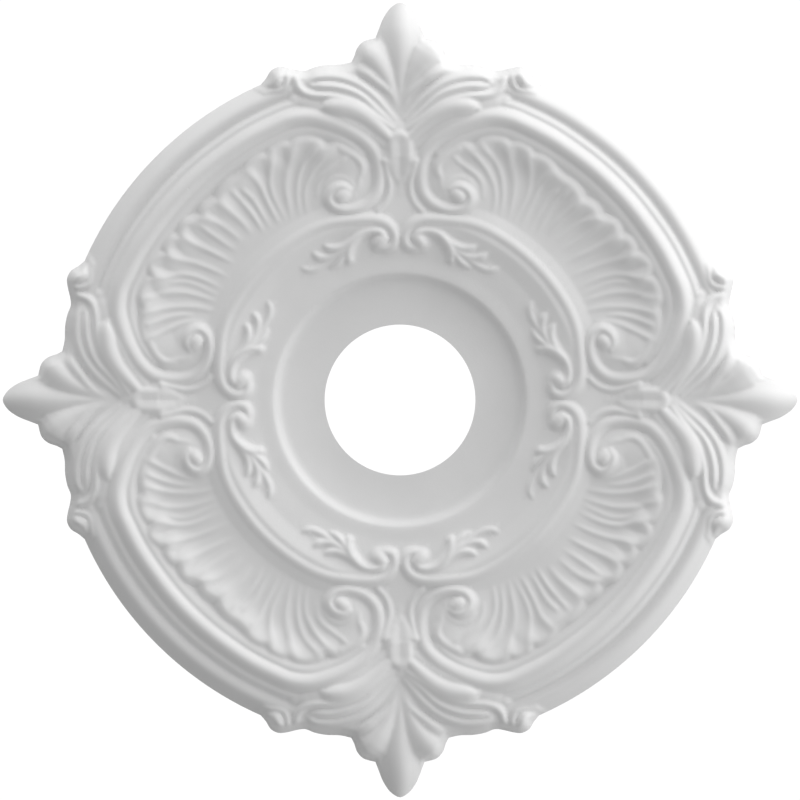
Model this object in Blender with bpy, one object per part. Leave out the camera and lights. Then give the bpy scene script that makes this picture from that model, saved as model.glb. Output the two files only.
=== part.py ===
"""Ceiling rose: one moulded disc of carved relief with a round hole for the lamp's cord.

The rose hangs face down. Its flat back lies at z = 0 with the origin at the centre, and the relief points
to -Z. The quarter between the vertical and the horizontal axis is mirrored over both axes. Inside it, all
but the shell is also alike on both sides of the diagonal, so it is described once, for the wedge between
the vertical axis and the diagonal. Lengths in the tables are millimetres.
"""
import math

import bmesh
import bpy
import numpy as np
from mathutils import Vector
from mathutils.geometry import delaunay_2d_cdt

MILLIMETRE = 0.001

# Outline, in millimetres, from the vertical axis round to the diagonal
HOLE_RADIUS = 43.5
RIM_RADIUS = 199.0
PETAL_EDGE = [(0, 229.4), (4.5, 227.2), (9, 221.6), (12.5, 213.4), (14.2, 208.9)]
LOBE_EDGE = [(14.2, 208.9), (17.4, 208.2), (21.4, 206.8), (24.8, 203), (26.6, 198), (28.2, 195)]
WING_EDGE = [(28.2, 195), (34, 193.7), (43, 193.3), (49.5, 192), (55, 190), (60, 190.6),
             (65, 191.8), (70.4, 192.2), (74.6, 190), (77.4, 185.6), (80.4, 182)]
WING_END = 80.4

# Thickness under the ring round the hole; the other heights are above that ring
BASE = 9.5
EDGE_HEIGHT = -3.0
EDGE_SLOPE = 2.6
EDGE_ROUND = 2.4

# How widely beads and swellings melt into what they stand on, and the radius of the last averaging
BLEND = 0.6
SWELL_BLEND = 1.2
SOFT = 0.75

# How near a row lies to a mirror line to be on it, how steeply a strand ends past a joint of its pieces,
# and how far each side of a piece reaches: so many half widths and so many millimetres more
ON_LINE = 0.01
JOINT_FALL = 1.2
REACH_WIDTHS = 3
REACH_MORE = 7
FAR_BELOW = -100.0

# Turned rings, as radius and height
RINGS = [(40, 0), (50, 0), (58, 0.4), (64, 1.1), (67.6, 1.7), (69.4, 2.4), (70.6, 3.7), (71.9, 5.8),
         (73, 6.9), (74.4, 7.1), (82, 7.4), (86, 7.9), (90, 8.5), (96, 9.1), (102, 9.4), (108, 9.2),
         (114, 8.8), (122, 8.2), (130, 7.7), (150, 7.7), (174, 8.2), (180, 7.9), (183.4, 6.7),
         (184.9, 6.3), (185.8, 6.3), (187.2, 7.1), (188.4, 7.5), (190, 7.5), (191.4, 7.0), (193, 5.6),
         (195, 2.9), (197, 0), (199, -2.8), (204, -10), (240, -60)]


def ring_rows(radius, angles, height, half_width):
    """Rows along a circle round the centre; angles run from the vertical axis."""
    rows = []
    for angle in angles:
        turn = math.radians(angle)
        rows.append((radius * math.sin(turn), radius * math.cos(turn), height, half_width))
    return rows


# Broad swellings, as rows of x, y, crest height, half width, then the fall to the left and to the right
SWELLS = {
    "wing_body": ([(3, 157.4, 9.8, 5), (12, 164, 11.0, 7), (22, 171.5, 12.3, 8), (34, 176, 12.1, 8),
                   (43, 178, 10.7, 7), (53, 179.5, 8.4, 6), (60, 182, 6.6, 6)], 0.34, 0.3),
    "wing_edge": ([(26, 188.6, 7.4, 4), (36, 188, 7.0, 4), (48, 187, 6.6, 4),
                   (56, 185, 6.4, 4)], 0.9, 0.4),
    "gap_body": ([(45, 171.4, 11.9, 4), (50, 171.2, 11.5, 3.6), (55, 171.6, 10.6, 3),
                  (59.6, 172, 9.8, 2.2)], 0.25, 0.3),
    "neck_body": ([(8, 147.6, 11.4, 4), (14.4, 151.8, 11.8, 4), (23, 157.6, 13.1, 4.5),
                   (32, 161.6, 13.8, 4.5), (44, 166.5, 12.8, 4.5), (54, 171, 11, 4)], 0.3, 0.3),
    "lobe_body": ([(3, 170, 8.2, 4), (9, 184, 8.6, 8), (15, 192, 8.7, 9), (19, 197, 7.2, 9)], 0.32, 0.32),
    "axis_body": ([(0, 152, 11.8, 7), (0, 141, 11.3, 7), (0, 131, 10.0, 6),
                   (0, 121, 8.6, 5)], 0.25, 0.25),
    "volute_body": ([(32, 121, 11.4, 9), (28, 125, 11.0, 9), (27, 131, 10.8, 9),
                     (30, 137, 10.8, 9)], 0.16, 0.16),
    "shell_foot": (ring_rows(115, (45, 40, 35), 9.4, 5) + ring_rows(114, (28, 22), 9.9, 5), 0.34, 0.3),
    "sprig_body": ([(29, 92, 10.6, 4.5), (35, 87.4, 10.0, 6), (44, 82.8, 9.0, 6),
                    (52, 79, 8.3, 5)], 0.35, 0.35),
    "band_body": (ring_rows(107, (45, 38, 31, 24), 11.7, 9)
                  + [(32, 101, 11.7, 8), (22, 101.4, 11.5, 7), (12, 99.4, 10.8, 5)], 0.22, 0.22),
}

# Angles of rows along the rim, near the diagonal and on to the scroll's turn
NEAR_DIAGONAL = (45, 40, 35)
TO_SCROLL = (30, 25, 21.5)

# Narrower mouldings, beads and leaves, in the same form
BEADS = {
    "scroll": (ring_rows(173.6, NEAR_DIAGONAL, 14.9, 4.5) + ring_rows(174, TO_SCROLL, 14.9, 4.5)
               + [(52, 163.3, 14.8, 5), (40, 160.6, 14.8, 5.2), (29, 155.8, 14.2, 4.8),
                  (20, 149.6, 13.3, 4.5), (14.2, 142.5, 12.5, 4.2), (12.1, 133.8, 11.6, 4),
                  (12.1, 126.4, 11.0, 4.1), (13.8, 119.5, 11.0, 3.7), (18.3, 113.9, 11.6, 3.3),
                  (25, 110.4, 12.5, 3), (32.6, 109.8, 12.8, 2.9), (38.4, 112, 12.8, 2.7),
                  (40.9, 116.4, 13.0, 2.5), (39.4, 120.4, 13.3, 2.3), (36.2, 122.8, 13.4, 2.1),
                  (32.4, 123.2, 13.1, 2.0), (29.4, 121.6, 12.5, 1.8)], 0.55, 0.66),
    "rim_fillet": (ring_rows(181.2, NEAR_DIAGONAL, 9.8, 1.9) + ring_rows(181.6, TO_SCROLL, 9.8, 1.9)
                   + [(55.8, 171.8, 9.8, 1.9)], 0.5, 0.6),
    "shell_fillet": (ring_rows(167, (45, 40, 35, 30, 26, 22), 12.3, 3.6)
                     + [(51, 156.2, 12.1, 3.2), (40, 153.6, 12.0, 3), (30, 148.8, 11.7, 2.6),
                        (22, 142.5, 11.0, 2.2)], 0.3, 0.6),
    "band": (ring_rows(110.4, (45, 39, 33, 27), 12.6, 3.6)
             + [(40, 102, 12.8, 3.5), (30, 103.5, 13, 3.4), (20, 104.2, 12.8, 3.3),
                (12.6, 103.7, 12.4, 3.2), (7.2, 101.4, 12.1, 3), (3.9, 97.6, 11.9, 2.8),
                (2.8, 93, 11.7, 2.5), (4.2, 89.4, 11.3, 2.3), (7.8, 87.8, 10.8, 2),
                (12, 88.2, 10.4, 1.9)], 0.5, 0.58),
    "band_fillet": (ring_rows(105, (45, 39, 33, 27), 11.8, 2.6)
                    + [(37, 98.2, 11.8, 2.4), (29, 99.8, 11.6, 1.8)], 0.35, 0.45),
    "ball": ([(10.2, 93.6, 12.6, 3.3), (11.4, 92.2, 12.8, 3.5), (12.4, 91, 12.5, 3.5)], 0.5, 0.5),
    "stem": ([(9.2, 94, 12.2, 2.2), (10.6, 96.2, 12.6, 2.3), (14, 97.5, 12.5, 2.3), (18, 97.4, 12.5, 2.3),
              (22, 96, 12.7, 2.4), (26, 92.6, 12.9, 2.5), (28.8, 88.6, 12.7, 2.5),
              (29.9, 84.6, 12.0, 2.4), (29.5, 81.4, 10.8, 2.2)], 0.6, 0.7),
    "leaf_a": ([(28.5, 91.4, 12.2, 1.8), (33, 88.6, 12, 2.2), (38, 87.5, 11.8, 2.4),
                (42, 88.3, 11.5, 2.2), (44.5, 90.4, 10.6, 1.4)], 0.6, 0.7),
    "leaf_b": ([(30, 88, 11.8, 1.6), (34, 85.4, 11.4, 2), (38.5, 83.2, 10.8, 2.2),
                (43.5, 82.2, 10.7, 2.4), (47.6, 83, 11.2, 2.4), (50.6, 85.6, 10.4, 1.5)], 0.6, 0.7),
    "leaf_c": ([(31, 85.6, 11.6, 1.6), (33.6, 81.8, 11.0, 1.9), (36.6, 78.8, 10.2, 1.9),
                (40, 76.8, 9.0, 1.5)], 0.7, 0.75),
    "leaf_d": ([(36, 84, 10.8, 1.6), (40, 80.8, 10.0, 1.9), (45, 77.6, 9.7, 2.2), (50, 75.4, 9.9, 2.4),
                (54.6, 75.4, 10.0, 2.3), (57.6, 77.4, 9.2, 1.4)], 0.6, 0.7),
    "neck_fillet": ([(8.7, 136.4, 12.1, 2), (7.4, 131, 11.1, 2), (6, 124.4, 10.2, 2.1),
                     (6.7, 118, 9.9, 2.1), (9.1, 113, 10.1, 2), (12.8, 109, 10.6, 1.8)], 0.55, 0.55),
    "cap": ([(0, 153.2, 13.2, 2.2), (2.6, 152.2, 13.2, 2.2), (4.6, 149.6, 13.2, 2.1),
             (5, 146, 13.2, 2.1), (4.9, 142.4, 13, 2.1), (4.8, 139, 12.5, 2),
             (4.6, 137, 10.8, 1.6)], 0.55, 0.12),
    "cap_arm": ([(4.8, 138.4, 12.5, 1.6), (7.4, 138, 12.6, 1.7), (9.8, 138, 12.5, 1.7),
                 (11.4, 137.2, 11.2, 1.6)], 0.5, 0.18),
    "neck_ridge": ([(4.8, 140, 12.6, 2), (4.6, 137, 12.2, 2), (4, 134, 11.6, 1.9), (3.2, 131.4, 11, 1.8),
                    (2.2, 129, 10.2, 1.6)], 0.2, 0.12),
    "almond": ([(5, 150.4, 13.0, 2.2), (9.8, 155, 13.6, 3.2), (15, 159.8, 14.4, 4.2),
                (21.6, 164.8, 15.5, 5), (29.4, 168.3, 16.3, 5.2), (36, 169.2, 16.5, 4.4),
                (40.4, 169.3, 16.0, 3.3), (43.2, 168.9, 15.0, 2.2), (44.8, 168.3, 13.8, 1.2)], 0.46, 0.5),
    "hook": ([(4, 156.4, 11.6, 1.6), (9.6, 160.6, 12.5, 1.6), (15, 164.4, 13.4, 1.6),
              (20, 167.8, 14.1, 1.6), (25, 170.9, 14.3, 1.6), (30, 173, 14.3, 1.6), (35, 174.5, 14.0, 1.6),
              (40, 175.2, 13.7, 1.7), (45, 175.3, 13.4, 1.9), (50, 175.6, 12.8, 2.1), (54.8, 177, 11.6, 2.2),
              (58.2, 180, 10.2, 2.2), (60, 184.6, 8.4, 2.2), (60.8, 190, 5.6, 2.2)], 0.7, 0.8),
    "hairpin": ([(3, 158, 10.5, 1.6), (8, 162.6, 11.3, 1.6), (12.6, 166.4, 12.1, 1.7),
                 (16.4, 170, 12.7, 1.7), (20, 173.5, 13.0, 1.7), (24.6, 176.6, 13.2, 1.8),
                 (30, 178.8, 13.2, 1.8), (35, 180.1, 12.8, 1.8), (40, 180.8, 12.3, 1.9),
                 (46, 180.9, 11.6, 1.9), (50.4, 181.2, 10, 1.8), (52.4, 182.8, 8.6, 2)], 0.66, 0.7),
    "frond": ([(52.4, 182.8, 8.6, 2), (49.6, 185.3, 9.2, 2), (43.4, 186.1, 9.8, 2.1),
               (36, 185.8, 10.4, 2.1), (30, 184.4, 11.1, 2.1), (25, 182.4, 11.5, 2.1),
               (21, 180, 11.7, 2.1), (17, 176.9, 11.7, 2.1), (12.6, 172.8, 11.2, 2), (9, 168.6, 10.6, 1.9),
               (6, 165, 10.2, 1.9), (3.4, 161.8, 10, 1.8)], 0.66, 0.6),
    "sprout": ([(3, 171.6, 8.8, 1.4), (5, 176, 9.6, 1.6), (9.2, 180.2, 10.2, 1.8), (14, 183.9, 10.5, 2),
                (18.6, 187.4, 10.6, 2.1), (22.6, 189.6, 9.4, 2.2), (26.2, 191, 7, 2.3)], 0.3, 0.75),
    "lobe": ([(2.4, 172, 8.6, 1.4), (5.2, 180, 9.2, 2.6), (9, 188, 10, 4.2), (13.4, 194.4, 10.4, 5.6),
              (17.6, 199.2, 9.5, 5.8), (20.2, 203.4, 6.8, 5)], 0.4, 0.5),
    "petal": ([(0, 234, -9.5, 4), (0, 228, -4.6, 4.6), (0, 221, 1.2, 5.4), (0, 214, 5.4, 6),
               (0, 207, 7.6, 6.4), (0, 199, 8.6, 5.6), (0, 190, 8.6, 4), (0, 182, 8.5, 2.8),
               (0, 176, 8.2, 2), (0, 170, 8.2, 1.4)], 0.42, 0.42),
    "knob_ring": ([(65.6, 190, 6.2, 1.3), (65, 186.6, 7.6, 1.3), (65.2, 183.2, 8.3, 1.3),
                   (66.8, 180, 8.5, 1.3), (70.2, 178.5, 8.1, 1.3), (74, 177.9, 7.3, 1.3),
                   (78, 176.4, 6.3, 1.3)], 0.6, 0.6),
    "knob": ([(70.6, 186.4, 8.6, 3.6), (71, 185, 9.1, 3.8), (71.4, 183.8, 8.9, 3.6)], 0.55, 0.55),
    "eye": ([(34.6, 117.4, 13.8, 3.6), (33.6, 118.2, 14.0, 4), (32.6, 119, 13.7, 3.8)], 0.5, 0.5),
    "curl": ([(34, 145, 12.2, 2.6), (28.6, 142.2, 12.1, 2.5), (24.4, 139, 12, 2.4),
              (22, 135.2, 11.8, 2.3), (22.2, 131.6, 11.6, 2.1), (23.6, 128.4, 11.3, 2),
              (24, 125, 11.1, 2), (24.8, 121.8, 10.8, 2)], 0.5, 0.4),
}

# The shell's scalloped rim, from beside the vertical axis over the diagonal to the horizontal axis
SHELL_RIM = [(27, 140.6), (30.6, 144.4), (36, 146.4), (41, 144), (45, 144.6), (48.6, 148), (54, 149.6),
             (60, 148), (63.4, 146.2), (68, 146.6), (72.6, 144), (76, 139.8), (81, 139), (85.4, 136),
             (88.2, 131.4), (93, 127), (98.6, 123.4), (102, 119), (104, 113.8), (108, 112.2),
             (112, 109.4), (113.2, 105), (118, 102.6), (123.6, 101), (125.2, 96.4), (125.6, 93),
             (131, 92), (134, 87.6), (133.4, 83.8), (139, 82), (143.6, 77.4), (142, 73), (140.4, 70.4),
             (145.6, 68), (148.6, 62), (148.6, 58), (147, 54.6), (147.4, 49), (148.4, 42), (147.4, 36),
             (143.6, 30), (140, 27)]

# Height of that rim and depth of the dish inside it, both against the distance from the nearer axis
RIM_HEIGHTS = [(27, 11.6), (36, 12.3), (46, 12.6), (68, 12.9), (80, 13.2), (90, 13.4)]
DISH_DEPTHS = [(27, 1.6), (40, 2.6), (60, 4.8), (78, 5.3), (95, 4.7), (105, 4.5)]
SHELL_END = 26.0
DISH_WIDTH = 8.0

# Ribs between the shell's hollows, in the wedge beside the vertical axis: rows of x, y, rise, half width
UPRIGHT_RIBS = [
    [(26.4, 118, 0.9, 1.2), (26.4, 122.4, 1, 1.2), (29.6, 126.8, 1, 1.2), (34.6, 129, 0.9, 1.2),
     (39.6, 127.4, 0.7, 1.2), (43, 123.4, 0.5, 1.2)],
    [(30, 141.6, 0.3, 1.6), (32.6, 138.8, 0.9, 1.6), (36.4, 135.6, 1, 1.6), (40.8, 132.4, 1, 1.6),
     (44.8, 129, 0.9, 1.5), (47.4, 124.6, 0.6, 1.4), (48, 118, 0.3, 1.4)],
    [(40, 144.6, 1, 2), (43, 141.4, 1, 1.8), (46.6, 137.4, 1, 1.6), (50, 133, 1, 1.6),
     (52.4, 128.4, 0.9, 1.5), (54.4, 123.6, 0.7, 1.4), (55, 117.6, 0.7, 1.4), (54.4, 111.6, 0.5, 1.4),
     (52.8, 106, 0.2, 1.4)],
    [(46.4, 148, 1, 2), (49.6, 144, 1, 1.8), (53, 140.4, 1, 1.7), (55.6, 136.4, 1, 1.6),
     (57.6, 132, 1, 1.6), (58.9, 126.8, 1, 1.5), (59.4, 121, 0.9, 1.5), (59.3, 115, 0.8, 1.4),
     (58.6, 110, 0.6, 1.4), (57.6, 105, 0.3, 1.4)],
    [(60, 150, 1, 2.8), (62.2, 144, 1, 2.6), (63.6, 138, 1, 2.4), (65.2, 131, 1, 2.4),
     (66, 124, 0.9, 2.2), (65.4, 118, 0.9, 1.8), (64.3, 112, 0.8, 1.5), (63, 106, 0.6, 1.3),
     (61.6, 101, 0.3, 1.3)],
    [(74.4, 144, 1, 2.4), (74.2, 137, 1, 2.1), (75, 131, 0.9, 1.8), (75, 125.4, 0.9, 1.7),
     (74, 120.4, 0.9, 1.6), (72, 115.2, 0.8, 1.5), (69.4, 110, 0.7, 1.4), (66.8, 105, 0.5, 1.4),
     (64.6, 100, 0.2, 1.4)],
    [(88.6, 132.4, 1, 2.2), (84, 128, 1, 2), (81.2, 124.6, 1, 1.8), (79.2, 120.4, 1, 1.7),
     (77.2, 115.6, 1, 1.6), (74.7, 110.6, 1, 1.6), (71.8, 105.2, 0.9, 1.5), (68, 99, 0.4, 1.4)],
    [(92.4, 122.6, 0, 1.8), (89.6, 120.2, 0.8, 1.7), (86.4, 117.4, 0.9, 1.6), (83.6, 114, 0.9, 1.5),
     (81, 109.6, 0.9, 1.5), (78, 104.4, 0.8, 1.4), (74, 98, 0.3, 1.4)],
    [(97.6, 121.6, 0.4, 1.8), (95, 118.4, 1, 1.7), (91.8, 115, 1, 1.6), (88, 110.7, 1, 1.6),
     (84.7, 106.4, 1, 1.5), (81.3, 101, 0.8, 1.4), (78, 95.4, 0.3, 1.4)],
    [(105.4, 115.4, 1, 2.4), (102.4, 112.4, 1, 2.3), (98.6, 109.2, 1, 2.2), (94.6, 105.8, 0.9, 2),
     (90.6, 102, 0.7, 1.8), (86.6, 97, 0.3, 1.6)],
]

# The same in the wedge beside the horizontal axis, where the ribs run otherwise, with x and y swapped
LEVEL_RIBS = [
    [(34, 147, 0.8, 2), (36.4, 142.4, 1, 1.8), (39.2, 137, 1, 1.6), (42, 131, 1, 1.6),
     (44, 125.8, 0.8, 1.5), (45, 120, 0.6, 1.4), (44.8, 114, 0.3, 1.4)],
    [(43, 145.4, 0.9, 1.8), (45, 140.8, 1, 1.6), (46.9, 136, 1, 1.6), (48.2, 131, 0.9, 1.5),
     (49, 126, 0.7, 1.4), (49, 121, 0.3, 1.4)],
    [(49.6, 147.6, 1, 2), (51, 142.6, 1, 1.8), (52.4, 137.6, 1, 1.7), (53.4, 132, 1, 1.7),
     (53.8, 126, 0.9, 1.6), (53.7, 119.6, 0.8, 1.6), (52.7, 113, 0.6, 1.5), (51.2, 107, 0.3, 1.4)],
    [(58.6, 149, 1, 2), (59.4, 143, 1, 2), (61.2, 136.6, 1, 1.9), (62, 130, 1, 1.8),
     (61.7, 123.4, 1, 1.7), (60.4, 117.4, 0.9, 1.6), (58.7, 111.6, 0.8, 1.5), (56.8, 106, 0.4, 1.4)],
    [(67, 134, 0, 1.4), (68, 129, 0.6, 1.3), (68, 124, 0.7, 1.3), (66.6, 118.4, 0.7, 1.3),
     (64, 112.8, 0.7, 1.3), (61.4, 107.2, 0.6, 1.3), (59.6, 103, 0.2, 1.3)],
    [(70.6, 141.4, 1, 2.2), (70.6, 137, 1, 2), (72, 131, 1, 1.8), (72.3, 124.6, 1, 1.7),
     (71.2, 118.2, 1, 1.6), (68.8, 111.8, 0.9, 1.5), (66, 106, 0.7, 1.4), (63.4, 101, 0.3, 1.4)],
    [(83.4, 134, 1, 2.2), (81.8, 131, 1, 2), (80.8, 126.4, 1, 1.9), (79.3, 119.8, 1, 1.8),
     (77.4, 113.8, 1, 1.7), (75.2, 108.2, 1, 1.6), (72.6, 102.8, 0.8, 1.5), (69.4, 97, 0.3, 1.4)],
    [(94.6, 126, 1, 2.2), (92.2, 122.4, 1, 2), (90.4, 119.4, 1, 1.9), (88.6, 115.4, 1, 1.8),
     (86, 109.8, 1, 1.7), (83.2, 104.2, 0.9, 1.6), (80.4, 99, 0.6, 1.5), (77.6, 94, 0.2, 1.4)],
    [(101, 116.6, 0.3, 1.5), (98.6, 113, 0.7, 1.4), (95.8, 109, 0.8, 1.4), (92.6, 104.2, 0.8, 1.4),
     (89.3, 99.4, 0.5, 1.4), (86.6, 95, 0.2, 1.4)],
    [(105, 114.6, 0.9, 2), (104, 110, 0.9, 1.9), (102.4, 105.6, 0.9, 1.8), (99.6, 101, 0.8, 1.7),
     (96, 96.6, 0.5, 1.6), (92.6, 92.6, 0.2, 1.5)],
]

# The ribs' rise, reach and sink, their fading at the rim, and the shape of the dish and the shell's ends
RIB_RISE = 1.15
RIB_REACH = 2.4
RIB_SINK = 0.46
RIM_FADE = 0.6
RIM_FADE_WIDTH = 3.0
DISH_POWER = 1.6
OUTER_FALL = 0.13
END_FALL = 0.1
SHELL_INNER = 104.0
SHELL_OUTER = 172.0
SHELL_SIDE = 18.0


def mirrored(end, neighbour):
    """The neighbour of an end that lies on a mirror line, reflected in that line."""
    x, y = neighbour[0], neighbour[1]
    copy = neighbour.copy()
    if abs(end[0] - end[1]) < ON_LINE < abs(x - y):
        copy[0], copy[1] = y, x
        return [copy]
    if abs(end[0]) < ON_LINE < abs(x):
        copy[0] = -x
        return [copy]
    return []


def pieces(rows):
    """Cubic pieces through the rows, each as four coefficients with the highest power first."""
    rows = [np.array(row, float) for row in rows]
    before, after = mirrored(rows[0], rows[1]), mirrored(rows[-1], rows[-2])
    knots = np.array(before + rows + after)
    steps = np.diff(knots, axis=0)
    lengths = np.hypot(steps[:, 0], steps[:, 1])[:, None]
    rates = steps / lengths
    slopes = np.vstack([rates[:1], (rates[:-1] * lengths[1:] + rates[1:] * lengths[:-1])
                        / (lengths[1:] + lengths[:-1]), rates[-1:]])
    found = []
    for i in range(len(before), len(before) + len(rows) - 1):
        start, end = slopes[i] * lengths[i], slopes[i + 1] * lengths[i]
        found.append((start + end - 2 * steps[i], 3 * steps[i] - 2 * start - end, start, knots[i]))
    return found


def along(piece, t):
    """Points and values of a cubic piece at the parameters t."""
    t = np.asarray(t, float)[:, None]
    return ((piece[0] * t + piece[1]) * t + piece[2]) * t + piece[3]


# The search for a curve's nearest point: tried starts, rounds of refining and the least rate in a round
STARTS = 6
ROUNDS = 4
SLOWEST = 0.3


def foot(piece, points):
    """Parameter of the point of a piece that lies nearest to each point."""
    flat = [part[:2] for part in piece]
    starts = np.linspace(0, 1, STARTS)
    gaps = points[:, None] - along(flat, starts)
    t = starts[(gaps ** 2).sum(axis=2).argmin(axis=1)]
    for _ in range(ROUNDS):
        u = t[:, None]
        gap = along(flat, t) - points
        first = (3 * flat[0] * u + 2 * flat[1]) * u + flat[2]
        second = 6 * flat[0] * u + 2 * flat[1]
        size = (first ** 2).sum(axis=1)
        rate = np.maximum(size + (gap * second).sum(axis=1), SLOWEST * size)
        t = np.clip(t - (gap * first).sum(axis=1) / rate, 0, 1)
    return t


def side_of(piece, t, points):
    """Distance of points from a piece, positive on its left, the piece's values beside them and how
    far the points lie past its ends."""
    values = along(piece, t)
    u = t[:, None]
    way = ((3 * piece[0] * u + 2 * piece[1]) * u + piece[2])[:, :2]
    gap = points - values[:, :2]
    left = way[:, 0] * gap[:, 1] > way[:, 1] * gap[:, 0]
    past = np.abs((way * gap).sum(axis=1)) / np.hypot(way[:, 0], way[:, 1])
    return np.where(left, 1, -1) * np.hypot(gap[:, 0], gap[:, 1]), values[:, 2:], past


def nearest(points, rows):
    """Signed distance from points to a curve, positive on its left."""
    best = np.full(len(points), np.inf)
    for piece in pieces(rows):
        apart = side_of(piece, foot(piece, points), points)[0]
        best = np.where(np.abs(apart) < np.abs(best), apart, best)
    return best


def smooth_max(a, b, blend=BLEND):
    near = np.clip(1 - np.abs(a - b) / blend, 0, None)
    return np.maximum(a, b) + near * near * blend / 4


def smooth_min(a, b, blend):
    return -smooth_max(-a, -b, blend)


def strand(points, rows, fall_left, fall_right, flanks):
    """Height of a strand with a rounded section, straight at its flanks where flanks is true."""
    height = np.full(len(points), FAR_BELOW)
    found = pieces(rows)
    for i, piece in enumerate(found):
        reach = REACH_WIDTHS * max(piece[3][3], sum(piece)[3]) + REACH_MORE
        line = along(piece, np.linspace(0, 1, 5))[:, :2]
        near = np.all((points > line.min(axis=0) - reach) & (points < line.max(axis=0) + reach), axis=1)
        near = np.flatnonzero(near)
        t = foot(piece, points[near])
        apart, values, past = side_of(piece, t, points[near])
        at_joint = ((t <= 0) & (i > 0)) | ((t >= 1) & (i < len(found) - 1))
        crest, width = values[:, 0] - JOINT_FALL * past * at_joint, values[:, 1]
        off = np.abs(apart) / width
        drop = np.where((off > 1) & flanks, 2 * off - 1, off * off)
        fall = np.where(apart > 0, fall_left, fall_right)
        height[near] = np.maximum(height[near], crest - drop * fall * width)
    return height


def rib_rise(points, rows):
    """Rise of one rib, rounded across, at each point."""
    rise = np.zeros(len(points))
    for piece in pieces(rows):
        line = along(piece, np.linspace(0, 1, 5))[:, :2]
        reach = RIB_REACH * max(piece[3][3], sum(piece)[3])
        near = np.all((points > line.min(axis=0) - reach) & (points < line.max(axis=0) + reach), axis=1)
        near = np.flatnonzero(near)
        apart, values, _ = side_of(piece, foot(piece, points[near]), points[near])
        rise[near] = np.maximum(rise[near], values[:, 0] * np.exp(-(apart / values[:, 1]) ** 2))
    return rise


def shell_height(points):
    """The dished shell in its quarter: a scalloped rim with hollows and curving ribs inside it."""
    beside = np.minimum(points[:, 0], points[:, 1])
    inward = -nearest(points, SHELL_RIM)
    within = np.clip(inward, 0, None)
    dish = np.interp(beside, *np.array(DISH_DEPTHS).T) * (1 - np.exp(-(within / DISH_WIDTH) ** DISH_POWER))
    over = np.clip(inward, None, 0)
    short = np.clip(SHELL_END - beside, 0, None)
    beyond = OUTER_FALL * over ** 2 + END_FALL * short ** 2
    rise = np.zeros(len(points))
    for rows in UPRIGHT_RIBS:
        rise = np.maximum(rise, rib_rise(points, rows))
    for rows in LEVEL_RIBS:
        rise = np.maximum(rise, rib_rise(points[:, ::-1], rows))
    rise = RIB_RISE * rise * (1 - RIM_FADE * np.exp(-(within / RIM_FADE_WIDTH) ** 2))
    return np.interp(beside, *np.array(RIM_HEIGHTS).T) - dish - beyond + rise - RIB_SINK


def edge_distance(points):
    """Distance from points to the outline."""
    radius = np.hypot(points[:, 0], points[:, 1])
    beside_wing = points[:, 0] / radius < WING_END / RIM_RADIUS
    apart = np.where(beside_wing, np.inf, np.abs(RIM_RADIUS - radius))
    for rows in (PETAL_EDGE, LOBE_EDGE, WING_EDGE):
        apart = np.minimum(apart, np.abs(nearest(points, rows)))
    return apart


def ring_height(radius):
    """Height of the turned rings, as a smooth curve through their rows."""
    at, heights = np.array(RINGS, float).T
    slopes = np.gradient(heights, at)
    i = np.clip(np.searchsorted(at, radius) - 1, 0, len(at) - 2)
    step = at[i + 1] - at[i]
    t = (radius - at[i]) / step
    start, end = slopes[i] * step, slopes[i + 1] * step
    rise = heights[i + 1] - heights[i]
    return heights[i] + t * (start + t * (3 * rise - 2 * start - end + t * (start + end - 2 * rise)))


def face_height(quarter):
    """Relief height at points of the quarter between the vertical and the horizontal axis."""
    points = np.sort(quarter, axis=1)
    radius = np.hypot(points[:, 0], points[:, 1])
    height = ring_height(radius)
    shell = np.flatnonzero((radius > SHELL_INNER) & (radius < SHELL_OUTER) & (points[:, 0] > SHELL_SIDE))
    height[shell] = smooth_max(height[shell], shell_height(quarter[shell]))
    for rows, fall_left, fall_right in SWELLS.values():
        height = smooth_max(height, strand(points, rows, fall_left, fall_right, False), SWELL_BLEND)
    for rows, fall_left, fall_right in BEADS.values():
        height = smooth_max(height, strand(points, rows, fall_left, fall_right, True))
    return smooth_min(height, EDGE_HEIGHT + EDGE_SLOPE * edge_distance(points), EDGE_ROUND)


def soft_height(points):
    """Relief height all round, averaged over a small circle, as a cast and its paint soften it."""
    turns = np.arange(6) * math.pi / 3
    steps = np.vstack([(0, 0), SOFT * np.column_stack([np.cos(turns), np.sin(turns)])])
    return sum(face_height(np.abs(points + step)) for step in steps) / len(steps)


# Mesh spacing, in millimetres: the finest lattice, its coarser levels and how much bend asks for a finer one
SPACING = 1.9
LEVELS = 2
BEND = 0.12
EDGE_STEP = 3.0
HOLE_STEP = 5.0
CLEARANCE = 0.5

# Points compared at once, the gap within which points count as one, and the decimals of the joined points
GROUP = 500
ONE_POINT = 1e-6
DECIMALS = 4

# The solid is thinned to about this many triangles
TRIANGLES = 9800

WHITE = (0.86, 0.86, 0.85, 1.0)
ROUGHNESS = 0.55
SHARP_ANGLE = 40.0


def spaced(start, end, step):
    """Points on a straight line, about a step apart, with both ends."""
    count = max(1, round(math.dist(start, end) / step))
    return [tuple(Vector(start).lerp(Vector(end), i / count)) for i in range(count + 1)]


def arc(radius, start, end, step):
    """Points on a circle about a step apart; angles in radians from the vertical axis."""
    count = max(1, round(radius * abs(end - start) / step))
    turns = [start + (end - start) * i / count for i in range(count + 1)]
    return [(radius * math.sin(turn), radius * math.cos(turn)) for turn in turns]


def traced(rows, step):
    """Points along a smooth curve, about a step apart."""
    points = []
    for piece in pieces(rows):
        length = math.dist(piece[3][:2], sum(piece)[:2])
        count = max(1, round(length / step))
        points += [tuple(point[:2]) for point in along(piece, np.arange(count) / count)]
    return points + [tuple(rows[-1][:2])]


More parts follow.
